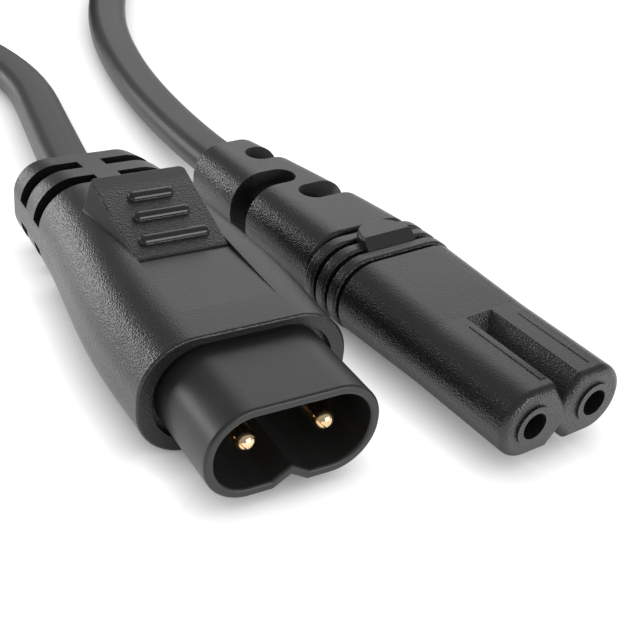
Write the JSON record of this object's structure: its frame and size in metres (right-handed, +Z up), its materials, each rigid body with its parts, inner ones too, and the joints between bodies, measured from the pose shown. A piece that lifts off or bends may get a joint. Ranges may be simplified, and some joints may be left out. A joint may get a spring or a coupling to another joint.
{
  "type": "figure-eight extension lead",
  "caption": "Mains extension lead with a figure-eight plug, a shroud round its pins, on one end and the matching figure-eight socket on the other, joined by a flat twin cord.",
  "frame": {"origin": "middle of the two connectors' box, on the surface that they lie on", "axes": "+Z up; +Y from the plug's mating face along the plug towards its cord; +X across the plug towards the socket"},
  "size_m": [0.0808, 0.2358, 0.0169],
  "materials": {
    "grip_plastic": "fine moulded grain",
    "shroud_plastic": "satin",
    "carrier_plastic": "plain moulded",
    "contact_brass": "bright drawn",
    "strand_copper": "bare stranded copper",
    "core_brown": "smooth insulation",
    "core_blue": "smooth insulation",
    "cord_sheath": "smooth flexible sheath",
    "tie_plastic": "smooth"
  },
  "bodies": {
    "root": {"coil_tie": "tie_plastic", "contact_holder": "carrier_plastic", "cord_coil": "cord_sheath", "cord_plug_run": "cord_sheath", "cord_socket_run": "cord_sheath", "line_pin": "contact_brass", "line_sleeve": "contact_brass", "neutral_pin": "contact_brass", "neutral_sleeve": "contact_brass", "plug_grip": "grip_plastic", "plug_line_core": "core_brown", "plug_line_strands": "strand_copper", "plug_neutral_core": "core_blue", "plug_neutral_strands": "strand_copper", "plug_shroud": "shroud_plastic", "socket_body": "grip_plastic", "socket_line_core": "core_brown", "socket_line_strands": "strand_copper", "socket_neutral_core": "core_blue", "socket_neutral_strands": "strand_copper"}
  },
  "joints": []
}
